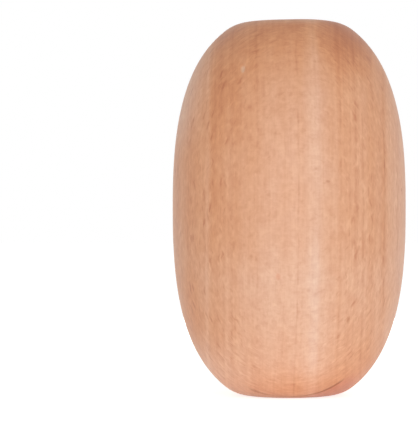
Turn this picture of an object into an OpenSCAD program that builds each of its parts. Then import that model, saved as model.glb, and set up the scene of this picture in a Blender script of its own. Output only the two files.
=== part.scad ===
/* [Egg] */
// Diameter at the girth, the widest place, half way up
girth_d = 60; // [50:0.5:80]
// Height from the foot flat to the top flat
egg_h = 96; // [70:0.5:130]
// Fullness of the side: 2 is a plain ellipse, and more is squarer
fullness = 2.63; // [2:0.01:3.5]

/* [Ends] */
// Diameter of the flat turned on each end
flat_d = 20.5; // [12:0.5:24]
// Radius that rounds the rim between each flat and the side
rim_r = 10; // [3:0.5:12]

/* [Hidden] */
$fn = 180;

// Steps along the side and along the rim, from the girth to one end
side_steps = 60;
rim_steps = 20;

// The side is a superellipse, the core curve, grown outwards by the rim's radius.
// The rim's arc is centred on the end of that curve, so it meets the side smoothly.
core_girth_r = girth_d / 2 - rim_r;
core_end_r = flat_d / 2;
core_end_z = egg_h / 2 - rim_r;
core_pole_z = core_end_z / pow(1 - pow(core_end_r / core_girth_r, fullness), 1 / fullness);
core_end_angle = asin(pow(core_end_z / core_pole_z, fullness / 2));

// A point of the core curve, with its height above the girth
function core_point(angle) = [
    core_girth_r * pow(cos(angle), 2 / fullness),
    core_pole_z * pow(sin(angle), 2 / fullness)
];

// The direction that faces outwards there, in degrees above level
function facing(point) = atan2(
    pow(point[1] / core_pole_z, fullness - 1) / core_pole_z,
    pow(point[0] / core_girth_r, fullness - 1) / core_girth_r
);

// The point of the surface that stands off a core point in the given direction
function surface_point(point, direction) = point + rim_r * [cos(direction), sin(direction)];

// The outline from the girth to one end's flat
rim_centre = [core_end_r, core_end_z];
rim_start = facing(rim_centre);
side_points = [
    for (i = [0 : side_steps - 1])
        let (point = core_point(core_end_angle * i / side_steps))
        surface_point(point, facing(point))
];
rim_points = [
    for (i = [0 : rim_steps])
        surface_point(rim_centre, rim_start + (90 - rim_start) * i / rim_steps)
];
upper_points = concat(side_points, rim_points);

// The same points mirrored below the girth, from the foot up, without the girth's own
last = len(upper_points) - 1;
lower_points = [for (i = [last : -1 : 1]) [upper_points[i][0], -upper_points[i][1]]];

// Solid turned wood, standing on its foot flat at z = 0
module egg() {
    color([0.9, 0.69, 0.56])
        translate([0, 0, egg_h / 2])
            rotate_extrude()
                polygon(concat([[0, -egg_h / 2]], lower_points, upper_points, [[0, egg_h / 2]]));
}

egg();
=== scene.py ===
"""The looks of a turned beech darning egg: its surface, its wood, and the studio round it."""

import math

import bmesh
import bpy
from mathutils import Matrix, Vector, noise


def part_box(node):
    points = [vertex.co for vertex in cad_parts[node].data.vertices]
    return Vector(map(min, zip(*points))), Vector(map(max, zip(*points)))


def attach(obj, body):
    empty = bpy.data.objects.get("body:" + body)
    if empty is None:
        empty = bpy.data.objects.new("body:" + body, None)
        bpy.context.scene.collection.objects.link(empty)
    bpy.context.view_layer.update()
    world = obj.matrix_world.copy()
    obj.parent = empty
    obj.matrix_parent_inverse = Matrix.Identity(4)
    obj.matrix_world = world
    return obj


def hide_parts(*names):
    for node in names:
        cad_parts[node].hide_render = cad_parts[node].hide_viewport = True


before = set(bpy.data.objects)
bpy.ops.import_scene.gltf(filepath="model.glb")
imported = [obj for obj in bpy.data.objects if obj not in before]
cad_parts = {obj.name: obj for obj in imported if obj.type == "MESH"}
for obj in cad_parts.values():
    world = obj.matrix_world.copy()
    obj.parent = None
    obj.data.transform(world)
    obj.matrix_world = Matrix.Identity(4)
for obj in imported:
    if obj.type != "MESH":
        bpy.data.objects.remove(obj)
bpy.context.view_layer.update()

# The turned form, in metres: the same sizes as the solid's
MM = 0.001
egg_low, egg_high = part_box("egg")
EGG_HEIGHT = egg_high[2] - egg_low[2]
GIRTH_RADIUS = (egg_high[0] - egg_low[0]) / 2
MIDDLE_HEIGHT = (egg_high[2] + egg_low[2]) / 2
FLAT_RADIUS = 10.25 * MM
RIM_RADIUS = 10 * MM
FULLNESS = 2.63

# How finely the surface is made, all over and by its fine marks
TURN_STEPS = 360
SIDE_STEPS = 84
RIM_STEPS = 20
FLAT_STEPS = 16
FINE_CUTS = 3
FINE_ROUND_NICK = 2.2 * MM
FINE_ABOVE_CHECK = 0.5 * MM
FINE_BY_CHECK = 0.9 * MM
FINE_BEYOND_CHECK = 1 * MM

# Hand sanding leaves the surface a little uneven. The surface only ever goes inwards, and the flats
# stay flat: out to FLAT_EDGE, a point counts as lying on one.
FLAT_EDGE = FLAT_RADIUS * 1.001
UNEVEN_DEPTH = 0.05 * MM
UNEVEN_SPAN = 14 * MM
UNEVEN_START = 2 * MM

# A small nick in the upper left of the front: where it is, its size and its depth
NICK_PLACE = Vector((-11.5, -22.0, 82.6)) * MM
NICK_WIDTH = 0.5 * MM
NICK_LENGTH = 0.95 * MM
NICK_DEPTH = 0.25 * MM

# A hairline check at the front of the foot, where the wood opened along a ray as it dried. It
# reaches CHECK_WIDTH to either side where it is open, and CHECK_NARROWEST of that where it closes.
CHECK_Y = -13.8 * MM
CHECK_TOP = 5.5 * MM
CHECK_WIDTH = 0.16 * MM
CHECK_NARROWEST = 0.4
CHECK_DEPTH = 0.22 * MM
CHECK_WAVE = 0.25 * MM
CHECK_WAVE_SPAN = 4 * MM

CHECK_OPENING = (
    (-11.6, 0.0), (-10.0, 0.30), (-8.0, 0.52), (-5.0, 0.35), (-3.0, 0.14), (0.8, 0.10), (2.8, 0.40),
    (6.0, 0.66), (9.0, 0.88), (11.0, 0.86), (13.2, 0.62), (14.2, 0.0),
)
CHECK_LEFT = CHECK_OPENING[0][0] * MM
CHECK_RIGHT = CHECK_OPENING[-1][0] * MM

# Sanding took the top down, from this height up, and more at the left than at the right
TOP_WORN_FROM = 83 * MM
TOP_WORN_LEFT = -2 * MM
TOP_WORN_RIGHT = 7 * MM
TOP_DROP_LEFT = 0.25 * MM
TOP_DROP_RIGHT = 0.07 * MM


def core_curve():
    """Returns the superellipse that the rim radius grows into the side: its girth, its pole, its end."""
    girth = GIRTH_RADIUS - RIM_RADIUS
    end = EGG_HEIGHT / 2 - RIM_RADIUS
    pole = end / (1 - (FLAT_RADIUS / girth) ** FULLNESS) ** (1 / FULLNESS)
    return girth, pole, end


def upper_outline():
    """Returns (radius, height above the girth) from the girth to the middle of one end's flat."""
    girth, pole, end = core_curve()
    end_angle = math.asin((end / pole) ** (FULLNESS / 2))
    points = []
    for step in range(SIDE_STEPS + 1):
        angle = end_angle * step / SIDE_STEPS
        radius = girth * math.cos(angle) ** (2 / FULLNESS)
        height = pole * math.sin(angle) ** (2 / FULLNESS)
        outwards = (radius / girth) ** (FULLNESS - 1) / girth
        upwards = (height / pole) ** (FULLNESS - 1) / pole
        facing = math.atan2(upwards, outwards)
        points.append((radius + RIM_RADIUS * math.cos(facing), height + RIM_RADIUS * math.sin(facing)))
    for step in range(1, RIM_STEPS + 1):
        angle = facing + (math.pi / 2 - facing) * step / RIM_STEPS
        points.append((FLAT_RADIUS + RIM_RADIUS * math.cos(angle), end + RIM_RADIUS * math.sin(angle)))
    for step in range(1, FLAT_STEPS):
        points.append((FLAT_RADIUS * (1 - step / FLAT_STEPS), EGG_HEIGHT / 2))
    return points


def whole_outline():
    """Returns (radius, height) from the foot's middle to the top's middle, without the two poles."""
    upper = upper_outline()
    lower = [(radius, -height) for radius, height in reversed(upper[1:])]
    return [(radius, MIDDLE_HEIGHT + height) for radius, height in lower + upper]


def smooth_share(value, start, end):
    """Goes smoothly from 0 at start to 1 at end."""
    share = min(1.0, max(0.0, (value - start) / (end - start)))
    return share * share * (3 - 2 * share)


def check_offset(point):
    """Returns how far a point lies behind the check's wavy plane."""
    wave = noise.noise(Vector((point.x, 0, 0)) / CHECK_WAVE_SPAN) * CHECK_WAVE
    return point.y - CHECK_Y - wave


def check_strength(point):
    if point.z > CHECK_TOP:
        return 0.0
    x = point.x / MM
    for (left, low), (right, high) in zip(CHECK_OPENING, CHECK_OPENING[1:]):
        if left <= x < right:
            return low + (high - low) * (x - left) / (right - left)
    return 0.0


def check_depth(point):
    strength = check_strength(point)
    width = CHECK_WIDTH * (CHECK_NARROWEST + (1 - CHECK_NARROWEST) * strength)
    return CHECK_DEPTH * strength * max(0.0, 1 - abs(check_offset(point)) / width)


def nick_depth(point):
    """Returns how deep the nick is at a point: a small rounded dent, longer than it is wide."""
    away = point - NICK_PLACE
    spread = (away.x / NICK_WIDTH) ** 2 + (away.y / NICK_LENGTH) ** 2 + (away.z / NICK_LENGTH) ** 2
    return NICK_DEPTH * math.exp(-spread)


def sanding_depth(point):
    """Returns how far sanding took the surface in at a point. This dies out towards the two flats."""
    settled = min(1.0, (math.hypot(point.x, point.y) - FLAT_RADIUS) / UNEVEN_START)
    return UNEVEN_DEPTH * settled * (0.5 + 0.5 * noise.noise(point / UNEVEN_SPAN))


def top_drop(point):
    """Returns how much lower the sanded top lies than the true turned form."""
    leftwards = smooth_share(point.x, TOP_WORN_RIGHT, TOP_WORN_LEFT)
    drop = TOP_DROP_RIGHT + (TOP_DROP_LEFT - TOP_DROP_RIGHT) * leftwards
    return drop * smooth_share(point.z, TOP_WORN_FROM, egg_high[2])


def worn_move(vert):
    """Returns how wear and fine marks moved a point of the surface."""
    point = vert.co
    move = Vector((0, 0, -top_drop(point)))
    if math.hypot(point.x, point.y) > FLAT_EDGE:
        move -= vert.normal * (sanding_depth(point) + nick_depth(point) + check_depth(point))
    return move


def near_fine_mark(point):
    """Says whether a point lies where the mesh needs smaller faces, by the nick or the check."""
    by_nick = (point - NICK_PLACE).length < FINE_ROUND_NICK
    by_check = point.z < CHECK_TOP + FINE_ABOVE_CHECK and abs(point.y - CHECK_Y) < FINE_BY_CHECK
    return by_nick or (
        by_check and CHECK_LEFT - FINE_BEYOND_CHECK < point.x < CHECK_RIGHT + FINE_BEYOND_CHECK)


def turned_mesh():
    """Returns the true turned form as one closed mesh of rings and two poles."""
    outline = whole_outline()
    points = [(0, 0, egg_low[2])]
    for radius, height in outline:
        for turn in range(TURN_STEPS):
            angle = 2 * math.pi * turn / TURN_STEPS
            points.append((radius * math.cos(angle), radius * math.sin(angle), height))
    points.append((0, 0, egg_high[2]))
    top_ring = 1 + (len(outline) - 1) * TURN_STEPS
    faces = []
    for turn in range(TURN_STEPS):
        beyond = (turn + 1) % TURN_STEPS
        faces.append((0, 1 + beyond, 1 + turn))
        for low in range(1, top_ring, TURN_STEPS):
            high = low + TURN_STEPS
            faces.append((low + turn, low + beyond, high + beyond, high + turn))
        faces.append((top_ring + turn, top_ring + beyond, len(points) - 1))
    mesh = bpy.data.meshes.new("turned_egg")
    mesh.from_pydata(points, [], faces)
    return mesh


def make_egg():
    """Returns the egg: the turned form, with smaller faces by its fine marks, worn and marked."""
    mesh = turned_mesh()
    work = bmesh.new()
    work.from_mesh(mesh)
    fine = [edge for edge in work.edges if all(near_fine_mark(vert.co) for vert in edge.verts)]
    bmesh.ops.subdivide_edges(work, edges=fine, cuts=FINE_CUTS, use_grid_fill=True)
    work.normal_update()
    moves = [(vert, worn_move(vert)) for vert in work.verts]
    for vert, move in moves:
        vert.co += move
    work.to_mesh(mesh)
    work.free()
    mesh.polygons.foreach_set("use_smooth", [True] * len(mesh.polygons))
    mesh.update()
    egg = bpy.data.objects.new("turned_egg", mesh)
    bpy.context.scene.collection.objects.link(egg)
    return egg


class Graph:
    """Makes the nodes of one material or world and links them as they are made."""

    # Nearly all of a noise lies between these values
    NOISE_LOW = 0.3
    NOISE_HIGH = 0.7

    def __init__(self, owner):
        owner.use_nodes = True
        self.tree = owner.node_tree
        self.tree.nodes.clear()

    def node(self, kind, **settings):
        """Makes a node of the given kind, with the given settings."""
        made = self.tree.nodes.new(kind)
        for name, value in settings.items():
            setattr(made, name, value)
        return made

    def put(self, value, socket):
        """Sets a socket to a plain value, or links it to another node's output."""
        if isinstance(value, bpy.types.NodeSocket):
            self.tree.links.new(value, socket)
        else:
            socket.default_value = value

    def math(self, operation, first, second=0.0):
        made = self.node("ShaderNodeMath", operation=operation)
        self.put(first, made.inputs[0])
        self.put(second, made.inputs[1])
        return made.outputs[0]

    def total(self, *values):
        """Adds up any number of values."""
        result = values[0]
        for value in values[1:]:
            result = self.math("ADD", result, value)
        return result

    def product(self, *values):
        """Multiplies any number of values."""
        result = values[0]
        for value in values[1:]:
            result = self.math("MULTIPLY", result, value)
        return result

    def apart(self, first, second):
        """Returns how far two values lie apart."""
        return self.math("ABSOLUTE", self.math("SUBTRACT", first, second))

    def vector(self, x, y, z):
        made = self.node("ShaderNodeCombineXYZ")
        for value, socket in zip((x, y, z), made.inputs):
            self.put(value, socket)
        return made.outputs[0]

    def coordinates(self, output):
        """Returns the three parts of one of the texture coordinates."""
        made = self.node("ShaderNodeSeparateXYZ")
        self.put(self.node("ShaderNodeTexCoord").outputs[output], made.inputs[0])
        return list(made.outputs)

    def length(self, vector):
        made = self.node("ShaderNodeVectorMath", operation="LENGTH")
        self.put(vector, made.inputs[0])
        return made.outputs["Value"]

    def stretched(self, place, spans):
        """Divides the three coordinates by the spans of one unit of a pattern."""
        return self.vector(*[self.math("DIVIDE", value, span) for value, span in zip(place, spans)])

    def noise(self, place, spans, detail=2.0, roughness=0.5):
        """Returns a smooth random pattern, round 0.5, whose units have the given spans."""
        made = self.node("ShaderNodeTexNoise")
        self.put(self.stretched(place, spans), made.inputs["Vector"])
        made.inputs["Scale"].default_value = 1.0
        made.inputs["Detail"].default_value = detail
        made.inputs["Roughness"].default_value = roughness
        return made.outputs[0]

    def sway(self, place, spans, amount):
        """Returns a smooth shift to either side of 0."""
        return self.product(self.math("SUBTRACT", self.noise(place, spans), 0.5), amount)

    def fade(self, value, start, end, low=0.0, high=1.0):
        """Goes smoothly from low at start to high at end, and stays there beyond them."""
        made = self.node("ShaderNodeMapRange", interpolation_type="SMOOTHSTEP")
        for given, socket in zip((value, start, end, low, high), made.inputs):
            self.put(given, socket)
        return made.outputs[0]

    def between(self, share, values):
        """Goes smoothly from the first value, where share is 0, to the second, where it is 1."""
        return self.fade(share, 0.0, 1.0, *values)

    def spread(self, pattern, low, high):
        """Stretches a noise to go from low to high."""
        return self.fade(pattern, self.NOISE_LOW, self.NOISE_HIGH, low, high)

    def specks(self, place, spans, edge, core, none_below, whole_from):
        """Returns a mask of specks, one in each cell of the given spans at most.

        A speck is whole within core of its cell's middle and ends at edge. Each cell has a random
        number: there is no speck where it is below none_below, and a whole one from whole_from on.
        """
        made = self.node("ShaderNodeTexVoronoi")
        self.put(self.stretched(place, spans), made.inputs["Vector"])
        made.inputs["Scale"].default_value = 1.0
        chance = self.node("ShaderNodeSeparateColor")
        self.put(made.outputs["Color"], chance.inputs[0])
        return self.product(
            self.fade(made.outputs["Distance"], edge, core),
            self.fade(chance.outputs[0], none_below, whole_from))

    def ramp(self, value, stops):
        """Returns the colour at value from a list of (place, colour), whose places may have any range."""
        start, end = stops[0][0], stops[-1][0]
        made = self.node("ShaderNodeValToRGB")
        self.put(self.math("DIVIDE", self.math("SUBTRACT", value, start), end - start), made.inputs[0])
        ramp = made.color_ramp
        while len(ramp.elements) < len(stops):
            ramp.elements.new(1.0)
        for element, (place, color) in zip(ramp.elements, stops):
            element.position = (place - start) / (end - start)
            element.color = (*color, 1.0)
        return made.outputs[0]

    def curve(self, value, stops):
        """Returns the number at value from a list of (place, number)."""
        return self.ramp(value, [(place, (number, number, number)) for place, number in stops])

    def marked(self, color, marks, mark_color):
        """Makes a colour lighter or darker by the share in marks, times mark_color in each channel."""
        shares = self.node("ShaderNodeVectorMath", operation="SCALE")
        self.put(mark_color, shares.inputs[0])
        self.put(marks, shares.inputs["Scale"])
        made = self.node("ShaderNodeVectorMath", operation="MULTIPLY_ADD")
        self.put(shares.outputs[0], made.inputs[0])
        self.put(color, made.inputs[1])
        self.put(color, made.inputs[2])
        return made.outputs[0]

    def tinted(self, color, share, tint):
        """Multiplies a colour by a tint, as far as share says."""
        made = self.node("ShaderNodeMix", data_type="RGBA", blend_type="MULTIPLY")
        self.put(share, made.inputs["Factor"])
        # The node has its two colours at these numbers, after those for plain values and vectors
        self.put(color, made.inputs[6])
        self.put((*tint, 1.0), made.inputs[7])
        return made.outputs[2]


# The log that the egg was cut from, in millimetres: where its heart lay, and how its grain leans
HEART_X = 150.0
HEART_Y = -13.6
GRAIN_LEAN = 0.003

# The wood's colours, from its deepest to its palest tone: (paleness, colour)
PALETTE = (
    (-0.10, (0.550, 0.180, 0.070)),
    (0.00, (0.600, 0.215, 0.090)),
    (0.30, (0.750, 0.335, 0.165)),
    (0.45, (0.778, 0.380, 0.208)),
    (0.71, (0.825, 0.452, 0.285)),
    (0.93, (0.857, 0.508, 0.345)),
    (1.00, (0.870, 0.535, 0.380)),
    (1.30, (0.900, 0.620, 0.480)),
)

# Paleness across the growth layers: (millimetres from the axis, paleness). The paler middle, from
# about -5 to 8 mm, is partly the wood's tone and partly painted sheen.
LAYER_TONES_AND_SHEEN = (
    (-32.0, 0.48), (-27.4, 0.46), (-25.0, 0.37), (-22.7, 0.36), (-21.2, 0.41), (-20.35, 0.50),
    (-19.9, 0.39), (-19.0, 0.35), (-17.5, 0.38), (-15.4, 0.45), (-13.6, 0.42), (-11.8, 0.51),
    (-9.2, 0.49), (-7.5, 0.55), (-4.7, 0.63), (-1.8, 0.60), (0.4, 0.64), (2.2, 0.62), (4.1, 0.76),
    (5.5, 0.86), (6.4, 0.85), (7.3, 0.71), (9.3, 0.59), (11.0, 0.55), (11.6, 0.49), (18.75, 0.50),
    (19.6, 0.44), (22.2, 0.48), (23.4, 0.39), (24.4, 0.53), (26.2, 0.62), (32.0, 0.65),
)

# Paleness of a middling layer up the egg: (millimetres above the foot, paleness). It is partly the
# wood's tone and partly painted sheen: the paler lower half stands in for the table's sheen on it.
MIDDLING = 0.5
HEIGHT_TONES_AND_SHEEN = (
    (0.0, 0.30), (4.6, 0.45), (7.7, 0.57), (10.7, 0.65), (14.7, 0.66), (20.6, 0.70), (30.4, 0.76),
    (40.0, 0.57), (48.0, 0.50), (63.6, 0.50), (75.5, 0.43), (85.5, 0.26), (90.0, 0.14), (96.0, 0.0),
)

# Broad patches of paler or deeper tone: (place in mm, half sizes in mm, paleness added). The last one,
# at the front of the foot, is partly the wood's tone and partly painted shade.
PATCHES = (
    ((-27.0, -6.0, 83.0), (11.0, 50.0, 26.0), 0.50),
    ((-16.0, -24.0, 74.0), (8.0, 40.0, 18.0), -0.09),
    ((-17.0, -10.0, 1.0), (16.0, 40.0, 20.0), 0.26),
    ((20.0, -10.0, 4.0), (14.0, 40.0, 16.0), -0.24),
    ((-28.0, -8.0, 22.0), (9.0, 40.0, 20.0), -0.24),
    ((14.0, -6.0, 95.0), (13.0, 40.0, 20.0), -0.30),
    ((28.0, -8.0, 22.0), (7.0, 40.0, 16.0), -0.18),
    ((10.0, -28.0, 30.0), (5.0, 40.0, 13.0), -0.10),
    ((10.0, -28.0, 54.0), (5.0, 40.0, 8.0), 0.10),
    # Partly painted shade at the front of the foot
    ((5.0, -14.0, 3.0), (9.0, 22.0, 6.0), -0.16),
)
PATCH_CORE = 0.2

# Fine lines between the layers: (millimetres from the axis, strength)
DARK_LINES = (
    (-24.6, 0.4), (-18.6, 0.4), (-14.4, 0.7), (-8.5, 0.6), (-6.7, 0.3), (-1.95, 0.3), (1.3, 1.0),
    (7.5, 0.4), (12.0, 0.7), (14.3, 0.6), (15.9, 0.7), (17.9, 0.9), (20.4, 0.5), (23.6, 0.8),
    (27.3, 0.6),
)
DARK_LINE_WIDTH = 0.44
PALE_LINES = (
    (-20.35, 1.0), (-15.5, 0.7), (-4.6, 0.5), (0.0, 0.4), (4.9, 0.6), (10.7, 0.7), (13.5, 0.5),
    (14.9, 0.7), (17.0, 0.8), (18.7, 0.7), (21.8, 0.4), (24.5, 0.9),
)
PALE_LINE_WIDTH = 0.85

# A line comes and goes with a noise: between these values of it, from the first strength to the second
COMES_AND_GOES = (0.40, 0.62)
DARK_LINE_STRENGTHS = (0.15, 1.1)
PALE_LINE_STRENGTHS = (1.0, 0.4)

# The patterns in the wood. Their spans are the lengths in mm of one unit of the pattern, across the
# growth layers, along them and up the grain. WANDER, JITTER and the sways are in mm too.
WANDER_SPANS = (9.0, 30.0, 45.0)
WANDER = 0.5
JITTER_SPANS = (2.0, 3.0, 3.0)
JITTER = 0.6
COMES_AND_GOES_SPANS = (3.0, 12.0, 7.0)
THIN_LAYER_SPANS = (0.8, 60.0, 40.0)
FIBRE_SPANS = (0.35, 0.35, 5.0)
GRIT_SPANS = (1.2, 0.9, 1.2)
SPOT_SPANS = (1.9, 1.2, 2.2)
STREAK_SPANS = (2.2, 0.8, 0.60)
STREAK_SWAY_SPANS = (3.0, 1.5, 3.0)
STREAK_SWAY = 1.2
RAY_SWAY_SPANS = (5.0, 9.0, 3.0)
RAY_SWAY = 1.6
PALE_RAY_SPANS = (4.0, 0.6, 2.4)
MOTTLE_SPANS = (5.0, 8.0, 14.0)

# Between which values of its noise a mark comes up, or a spot goes from dark to pale
PALE_RAY_LIMITS = (0.50, 0.72)
DARK_STREAK_LIMITS = (0.56, 0.72)
PALE_STREAK_LIMITS = (0.44, 0.30)
SPOT_LIMITS = (0.32, 0.68)

# How the surface lies. Between the limits it comes to count as the ray side, as upright, as the ray
# face and as end grain. NOT_ZERO keeps a division sound where the surface faces straight up.
RAY_SIDE_LIMITS = (0.80, 0.98)
UPRIGHT_LIMITS = (1.0, 0.70)
RAY_FACE_LIMITS = (1.60, 1.96)
END_GRAIN_LIMITS = (0.90, 1.0)
NOT_ZERO = 0.0001

# Marks that the rays leave, one in each cell at most: (the cell's spans in mm, the mark's edge and
# core as shares of it, and the chance below which there is no mark and from which it is whole)
DASHES = ((4.0, 0.62, 3.6), 0.52, 0.12, 0.64, 0.88)
FLECKS = ((2.8, 0.25, 2.1), 0.55, 0.20, 0.45, 0.95)
DOTS = ((2.0, 1.4, 1.9), 0.42, 0.10, 0.72, 0.95)
FLECK_STRENGTH = 0.7

# Dashes get weaker from left to right, between two places in mm, and towards the ends, between two
# shares by which the surface faces up or down
DASHES_ACROSS = (-12.0, 14.0)
DASH_STRENGTHS_ACROSS = (1.3, 0.9)
DASHES_TOWARDS_ENDS = (0.35, 0.75)
DASH_STRENGTHS_TOWARDS_ENDS = (1.0, 0.5)

# Strengths that depend on how the surface lies: (where it cuts the rays, where they lie in it)
DASH_STRENGTHS = (1.15, 0.35)
DOT_STRENGTHS = (0.3, 1.1)
THIN_LAYER_STRENGTHS = (1.0, 0.6)

# How much of the wood's light a kind of mark adds, or takes away where it is below 0. The rays have
# one share where the surface cuts them and one where they lie in it.
DARK_LINE = -0.15
PALE_LINE = 0.055
DARK_RAYS = (-0.23, -0.13)
PALE_RAYS = (0.13, 0.05)
THIN_LAYER = 0.055
FIBRE = 0.03
GRIT = 0.04
SPOT = 0.05
DARK_STREAK = -0.05
PALE_STREAK = 0.04

# How much the mottle and the height, with its painted sheen, count in the paleness. The height counts in
# full on the upright parts of the front and the back, where the painted sheen is strongest.
MOTTLE = 0.04
HEIGHT_AND_SHEEN_STRENGTHS = (0.6, 1.0)

# Tints that multiply the wood's colour in special places. The check's tint is painted shade, and the
# pink one is partly painted shade.
END_GRAIN_TINT = (0.94, 0.88, 0.84)
# Partly painted shade: darker and pinker below the check
PINK_TINT = (0.93, 0.82, 0.92)
RED_TINT = (0.92, 0.71, 0.65)
RUST_TINT = (0.86, 0.78, 0.72)
BROWN_TINT = (0.87, 0.77, 0.73)
CHALK_TINT = (1.06, 1.34, 1.66)
# Painted shade inside the check
CHECK_SHADE_TINT = (0.58, 0.46, 0.42)

# How much of a fine mark's light or dark falls on the red, the green and the blue: dark marks are warm
MARK_COLOR = (0.52, 1.0, 1.18)

# Small marks on the front: (place in mm, half sizes in mm, strength, tint)
MARKS = (
    ((-2.7, -29.2, 31.2), (0.8, 2.0, 1.2), 0.65, RED_TINT),
    ((9.5, -28.4, 54.5), (0.75, 2.0, 0.45), 1.0, BROWN_TINT),
    ((28.5, -9.6, 52.7), (0.4, 1.6, 0.7), 0.9, BROWN_TINT),
    ((14.6, -23.1, 20.3), (0.6, 2.0, 1.2), 0.9, RUST_TINT),
    ((-13.7, -26.5, 38.8), (0.5, 2.0, 1.6), 0.7, BROWN_TINT),
    ((-11.5, -22.2, 82.4), (0.75, 2.0, 1.3), 1.0, CHALK_TINT),
)
MARK_CORE = 0.35

# The painted shade inside the check, in mm: how softly it ends at its top, how wide the shade is at the
# left and at the right, between which places it narrows, and its core
CHECK_TOP_SOFTNESS = 0.5
CHECK_DARK_WIDTHS = (0.8, 0.6)
CHECK_DARK_PLACES = (0.0, 8.0)
CHECK_DARK_CORE = 0.15

# The darker, pinker band below the check, partly the wood's tone and partly painted shade, in mm: where
# it starts and where it is whole, from each side. At the front it starts at the check, and it is whole
# that far behind it.
PINK_FROM_LEFT = (1.0, 9.0)
PINK_FROM_RIGHT = (21.0, 15.0)
PINK_FROM_BACK = (-2.0, -9.0)
PINK_FROM_ABOVE = (8.0, 3.0)
PINK_BEHIND_CHECK = 0.6

# The satin gloss, on plain wood and on a ray, and the fine relief that fibres, lines and rays leave
ROUGHNESS = (0.46, 0.38)
FIBRE_RELIEF = 0.6
LINE_RELIEF = -0.4
RAY_RELIEF = 0.3
BUMP_STRENGTH = 0.15
BUMP_HEIGHT = 0.02 * MM


def wood_place(g):
    """Returns a point's place and its place in the log: across the layers, along them, up the grain."""
    x, y, z = [g.math("DIVIDE", part, MM) for part in g.coordinates("Object")]
    above = g.math("SUBTRACT", z, MIDDLE_HEIGHT / MM)
    straight_x = g.math("SUBTRACT", x, g.math("MULTIPLY", above, GRAIN_LEAN))
    to_heart_x = g.math("SUBTRACT", HEART_X, straight_x)
    to_heart_y = g.math("SUBTRACT", y, HEART_Y)
    squares = g.total(g.math("POWER", to_heart_x, 2.0), g.math("POWER", to_heart_y, 2.0))
    across = g.math("SUBTRACT", HEART_X, g.math("SQRT", squares))
    along = g.math("MULTIPLY", g.math("ARCTAN2", to_heart_y, to_heart_x), HEART_X)
    return (x, y, z), (across, along, z)


def surface_facing(g):
    """Returns how the surface lies, each from 0 to 1.

    on_ray_side: it is upright and faces front or back, along the growth layers.
    on_ray_face: the same, with a sharper limit. There the rays lie in the surface.
    along_grain: it faces up or down, so that it is end grain.
    """
    x, y, z = g.coordinates("Normal")
    squares = g.total(g.math("POWER", x, 2.0), g.math("POWER", y, 2.0), NOT_ZERO)
    along_layers = g.math("ABSOLUTE", y)
    side_along_layers = g.math("DIVIDE", along_layers, g.math("SQRT", squares))
    along_grain = g.math("ABSOLUTE", z)
    on_ray_side = g.product(
        g.fade(side_along_layers, *RAY_SIDE_LIMITS), g.fade(along_grain, *UPRIGHT_LIMITS))
    on_ray_face = g.fade(g.total(side_along_layers, along_layers), *RAY_FACE_LIMITS)
    return on_ray_side, on_ray_face, along_grain


def lines_at(g, layer, table, width):
    """Returns the mask of fine upright lines at the given places across the layers."""
    lines = 0.0
    for middle, strength in table:
        away = g.apart(layer, middle)
        lines = g.math("MAXIMUM", g.fade(away, width, 0.0, 0.0, strength), lines)
    return lines


def growth_lines(g, wood, layer):
    """Returns (dark, pale): the fine lines between the growth layers, which come and go up the grain."""
    pattern = g.noise(wood, COMES_AND_GOES_SPANS, detail=3.0, roughness=0.6)
    dark = g.product(
        lines_at(g, layer, DARK_LINES, DARK_LINE_WIDTH),
        g.fade(pattern, *COMES_AND_GOES, *DARK_LINE_STRENGTHS))
    pale = g.product(
        lines_at(g, layer, PALE_LINES, PALE_LINE_WIDTH),
        g.fade(pattern, *COMES_AND_GOES, *PALE_LINE_STRENGTHS))
    return dark, pale


def rays(g, wood, on_ray_face, along_grain):
    """Returns (dark, pale): thin sheets across the growth layers, cut open where the surface meets them."""
    across, along, up = wood
    swayed = (across, g.total(along, g.sway(wood, RAY_SWAY_SPANS, RAY_SWAY)), up)
    dashes = g.product(
        g.specks(swayed, *DASHES),
        g.between(on_ray_face, DASH_STRENGTHS),
        g.fade(across, *DASHES_ACROSS, *DASH_STRENGTHS_ACROSS),
        g.fade(along_grain, *DASHES_TOWARDS_ENDS, *DASH_STRENGTHS_TOWARDS_ENDS))
    flecks = g.product(g.specks(swayed, *FLECKS), FLECK_STRENGTH)
    dots = g.product(g.specks(wood, *DOTS), g.between(on_ray_face, DOT_STRENGTHS))
    dark = g.math("MAXIMUM", g.math("MAXIMUM", dashes, flecks), dots)
    pale = g.fade(g.noise(swayed, PALE_RAY_SPANS, detail=1.0), *PALE_RAY_LIMITS)
    return dark, pale


def streaks(g, wood, on_ray_face):
    """Returns the share of light that fine level streaks add or take away on the ray face."""
    across, along, up = wood
    sway = g.product(g.noise(wood, STREAK_SWAY_SPANS), STREAK_SWAY)
    pattern = g.noise((across, along, g.total(up, sway)), STREAK_SPANS, detail=1.0)
    dark = g.fade(pattern, *DARK_STREAK_LIMITS, 0.0, DARK_STREAK)
    pale = g.fade(pattern, *PALE_STREAK_LIMITS, 0.0, PALE_STREAK)
    return g.product(on_ray_face, g.total(dark, pale))


def texture_marks(g, wood, layer, fibre, on_ray_face):
    """Returns the shares of light that the finest marks between the lines and rays add or take away."""
    thin_layers = g.noise((layer, *wood[1:]), THIN_LAYER_SPANS, detail=3.0, roughness=0.65)
    thin_layer_strength = g.between(on_ray_face, THIN_LAYER_STRENGTHS)
    grit = g.noise(wood, GRIT_SPANS, roughness=0.6)
    spots = g.noise(wood, SPOT_SPANS, roughness=0.6)
    return [
        g.product(g.spread(thin_layers, THIN_LAYER, -THIN_LAYER), thin_layer_strength),
        g.spread(fibre, FIBRE, -FIBRE),
        g.spread(grit, -GRIT, GRIT),
        g.fade(spots, *SPOT_LIMITS, -SPOT, SPOT),
        streaks(g, wood, on_ray_face),
    ]


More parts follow.
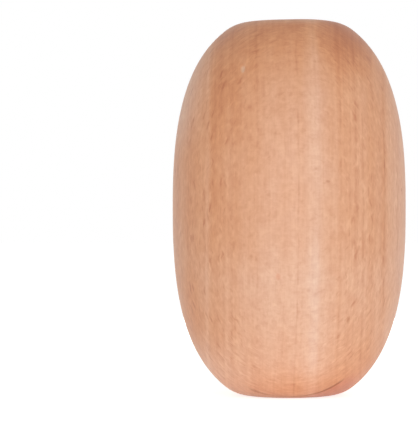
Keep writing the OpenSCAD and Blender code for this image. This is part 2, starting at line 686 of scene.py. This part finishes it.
def spot(g, place, centre, size, core):
    """Returns a mask round a point, in mm, of the given half sizes across, in depth and up.

    It is whole inside the given share of the half sizes, and fades out from there.
    """
    parts = [g.math("DIVIDE", g.math("SUBTRACT", p, c), s) for p, c, s in zip(place, centre, size)]
    return g.fade(g.length(g.vector(*parts)), 1.0, core)


def check_masks(g, place):
    """Returns the painted shade in the hairline check, and the darker, pinker band below its right half."""
    x, y, z = place
    check_y = CHECK_Y / MM
    check_top = CHECK_TOP / MM
    low = g.fade(z, check_top + CHECK_TOP_SOFTNESS, check_top - CHECK_TOP_SOFTNESS)
    width = g.fade(x, *CHECK_DARK_PLACES, *CHECK_DARK_WIDTHS)
    crack = g.product(low, g.curve(x, CHECK_OPENING), g.fade(g.apart(y, check_y), width, CHECK_DARK_CORE))
    below = g.product(
        g.fade(z, *PINK_FROM_ABOVE),
        g.fade(x, *PINK_FROM_LEFT),
        g.fade(x, *PINK_FROM_RIGHT),
        g.fade(y, check_y, check_y + PINK_BEHIND_CHECK),
        g.fade(y, *PINK_FROM_BACK))
    return crack, below


def paleness_with_painted_light(g, place, layer, wood, on_ray_side):
    """Returns the paleness from layers, height, patches and mottle: wood tone with painted sheen and shade.
    """
    height_tone_and_sheen = g.math("SUBTRACT", g.curve(place[2], HEIGHT_TONES_AND_SHEEN), MIDDLING)
    patches = [
        g.product(spot(g, place, centre, size, PATCH_CORE), amount) for centre, size, amount in PATCHES]
    mottle = g.noise(wood, MOTTLE_SPANS)
    # Painted sheen in the layers' middle and the height's lower half, painted shade in the foot's patch
    return g.total(
        g.curve(layer, LAYER_TONES_AND_SHEEN),
        *patches,
        g.product(height_tone_and_sheen, g.between(on_ray_side, HEIGHT_AND_SHEEN_STRENGTHS)),
        g.spread(mottle, -MOTTLE, MOTTLE))


def wood_color(g, place, paleness, marks, along_grain):
    """Returns the colour: its tone, then its fine marks, its end grain, the painted shade at the check and
    the stains.
    """
    color = g.marked(g.ramp(paleness, PALETTE), marks, MARK_COLOR)
    color = g.tinted(color, g.fade(along_grain, *END_GRAIN_LIMITS), END_GRAIN_TINT)
    crack, below_crack = check_masks(g, place)
    # Darker and pinker below the check: partly the wood's tone, partly painted shade
    color = g.tinted(color, below_crack, PINK_TINT)
    # Painted shade inside the check
    color = g.tinted(color, crack, CHECK_SHADE_TINT)
    for centre, size, strength, tint in MARKS:
        color = g.tinted(color, g.product(spot(g, place, centre, size, MARK_CORE), strength), tint)
    return color


def satin(g, color, fibre, dark_lines, dark_rays):
    """Returns the shader of waxed wood. Its rays shine more, and its marks leave a fine relief."""
    shader = g.node("ShaderNodeBsdfPrincipled")
    g.put(color, shader.inputs["Base Color"])
    g.put(g.between(dark_rays, ROUGHNESS), shader.inputs["Roughness"])
    relief = g.total(
        g.product(fibre, FIBRE_RELIEF),
        g.product(dark_lines, LINE_RELIEF),
        g.product(dark_rays, RAY_RELIEF))
    bump = g.node("ShaderNodeBump")
    bump.inputs["Strength"].default_value = BUMP_STRENGTH
    bump.inputs["Distance"].default_value = BUMP_HEIGHT
    g.put(relief, bump.inputs["Height"])
    g.put(bump.outputs[0], shader.inputs["Normal"])
    return shader.outputs[0]


def beech(name):
    """Returns quarter-sawn beech, sanded and waxed, as one solid grain that runs through the whole egg."""
    material = bpy.data.materials.new(name)
    g = Graph(material)
    place, wood = wood_place(g)
    on_ray_side, on_ray_face, along_grain = surface_facing(g)
    layer = g.total(wood[0], g.sway(wood, WANDER_SPANS, WANDER), g.sway(wood, JITTER_SPANS, JITTER))
    dark_lines, pale_lines = growth_lines(g, wood, layer)
    dark_rays, pale_rays = rays(g, wood, on_ray_face, along_grain)
    fibre = g.noise(wood, FIBRE_SPANS, roughness=0.6)
    marks = g.total(
        g.product(dark_lines, DARK_LINE),
        g.product(pale_lines, PALE_LINE),
        g.product(dark_rays, g.between(on_ray_face, DARK_RAYS)),
        g.product(pale_rays, g.between(on_ray_face, PALE_RAYS)),
        *texture_marks(g, wood, layer, fibre, on_ray_face))
    paleness = paleness_with_painted_light(g, place, layer, wood, on_ray_side)
    color = wood_color(g, place, paleness, marks, along_grain)
    shader = satin(g, color, fibre, dark_lines, dark_rays)
    g.put(shader, g.node("ShaderNodeOutputMaterial").inputs[0])
    return material


# The camera, from the photograph: a level view from a little below the egg's middle height, in a
# frame of 418 by 441 pixels. The egg's axis and the camera's own height lie at the given pixels.
IMAGE_WIDTH = 418
IMAGE_HEIGHT = 441
AXIS_COLUMN = 289.2
VIEW_HEIGHT_ROW = 215.3
METRES_PER_PIXEL = 0.25771 * MM
VIEW_DISTANCE = 562 * MM
VIEW_HEIGHT = MIDDLE_HEIGHT - 1.8 * MM
SENSOR = 36.0


def set_camera():
    """Makes the camera and looks through it."""
    camera_data = bpy.data.cameras.new("camera")
    camera_data.sensor_width = SENSOR
    camera_data.lens = SENSOR * VIEW_DISTANCE / METRES_PER_PIXEL / IMAGE_HEIGHT
    camera_data.shift_x = (IMAGE_WIDTH / 2 - AXIS_COLUMN) / IMAGE_HEIGHT
    camera_data.shift_y = (VIEW_HEIGHT_ROW - IMAGE_HEIGHT / 2) / IMAGE_HEIGHT
    camera_data.clip_start = 10 * MM
    camera = bpy.data.objects.new("camera", camera_data)
    camera.location = (0, -VIEW_DISTANCE, VIEW_HEIGHT)
    camera.rotation_euler = (math.pi / 2, 0, 0)
    bpy.context.scene.collection.objects.link(camera)
    bpy.context.scene.camera = camera


# The studio: a white room that is lightest in front, to the right and low down, and a white table
# that glows softly, less round the foot
WHITE = (1.0, 1.0, 1.0, 1.0)
ROOM_LIGHT = 0.461
ROOM_RIGHT = 0.19
ROOM_FRONT = 0.35
ROOM_TOP = -0.115
ROOM_SEEN = 1.0
FLOOR_COLOR = (0.85, 0.85, 0.85, 1.0)
FLOOR_SIZE = 6.0
FLOOR_GAP = 0.1 * MM
FLOOR_LIGHT = 0.388
FLOOR_SEEN = 0.75
FOOT_SHADE = 0.30
FOOT_SHADE_START = 9 * MM
FOOT_SHADE_END = 27 * MM

# The lamps: (name, place, width, height, power). The one behind lights hardly anything that the
# photograph shows.
LAMPS = (
    ("front_lamp", (0, -0.42, 0.065), 0.30, 0.16, 0.372),
    ("back_lamp", (0, 0.42, 0.10), 0.12, 0.12, 0.40),
)


def seen_directly(g):
    """Returns 1 for what the camera, a mirror or glass sees, and 0 for light on the object."""
    path = g.node("ShaderNodeLightPath")
    seen = g.math("MAXIMUM", path.outputs["Is Camera Ray"], path.outputs["Is Glossy Ray"])
    return g.math("MAXIMUM", seen, path.outputs["Is Transmission Ray"])


def floor_material():
    """Returns the floor's white. It glows a little, and more when seen, so that it meets the backdrop."""
    material = bpy.data.materials.new("floor")
    g = Graph(material)
    matt = g.node("ShaderNodeBsdfDiffuse")
    matt.inputs["Color"].default_value = FLOOR_COLOR
    from_axis = g.length(g.node("ShaderNodeTexCoord").outputs["Object"])
    shaded = g.fade(from_axis, FOOT_SHADE_START, FOOT_SHADE_END, FOOT_SHADE, 1.0)
    glow = g.node("ShaderNodeEmission")
    light = g.product(shaded, FLOOR_LIGHT)
    g.put(g.between(seen_directly(g), (light, FLOOR_SEEN)), glow.inputs["Strength"])
    both = g.node("ShaderNodeAddShader")
    g.put(matt.outputs[0], both.inputs[0])
    g.put(glow.outputs[0], both.inputs[1])
    g.put(both.outputs[0], g.node("ShaderNodeOutputMaterial").inputs[0])
    return material


def make_floor():
    """Makes the pale floor, a hair below the foot so that the two don't coincide."""
    half = FLOOR_SIZE / 2
    corners = [(-half, -half, 0), (half, -half, 0), (half, half, 0), (-half, half, 0)]
    mesh = bpy.data.meshes.new("floor")
    mesh.from_pydata(corners, [], [(0, 1, 2, 3)])
    floor = bpy.data.objects.new("floor", mesh)
    floor.location.z = -FLOOR_GAP
    bpy.context.scene.collection.objects.link(floor)
    floor.data.materials.append(floor_material())


def set_world():
    """Makes the white room. It lights the object as the numbers above say, and is white where seen."""
    world = bpy.data.worlds.new("room")
    bpy.context.scene.world = world
    g = Graph(world)
    right, back, up = g.coordinates("Generated")
    light = g.total(
        ROOM_LIGHT, g.product(right, ROOM_RIGHT), g.product(back, -ROOM_FRONT), g.product(up, ROOM_TOP))
    background = g.node("ShaderNodeBackground")
    g.put(WHITE, background.inputs["Color"])
    g.put(g.between(seen_directly(g), (light, ROOM_SEEN)), background.inputs["Strength"])
    g.put(background.outputs[0], g.node("ShaderNodeOutputWorld").inputs[0])


def add_lamp(name, place, width, height, power):
    """Adds a soft lamp that looks at the middle of the egg."""
    lamp_data = bpy.data.lights.new(name, "AREA")
    lamp_data.shape = "RECTANGLE"
    lamp_data.size = width
    lamp_data.size_y = height
    lamp_data.energy = power
    lamp = bpy.data.objects.new(name, lamp_data)
    lamp.location = place
    towards = Vector((0, 0, MIDDLE_HEIGHT)) - Vector(place)
    lamp.rotation_euler = towards.to_track_quat("-Z", "Y").to_euler()
    bpy.context.scene.collection.objects.link(lamp)


set_camera()
set_world()
make_floor()
for lamp_settings in LAMPS:
    add_lamp(*lamp_settings)

egg = make_egg()
egg.data.materials.append(beech("beech"))
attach(egg, "root")
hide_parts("egg")

bpy.context.scene.view_settings.view_transform = "Standard"
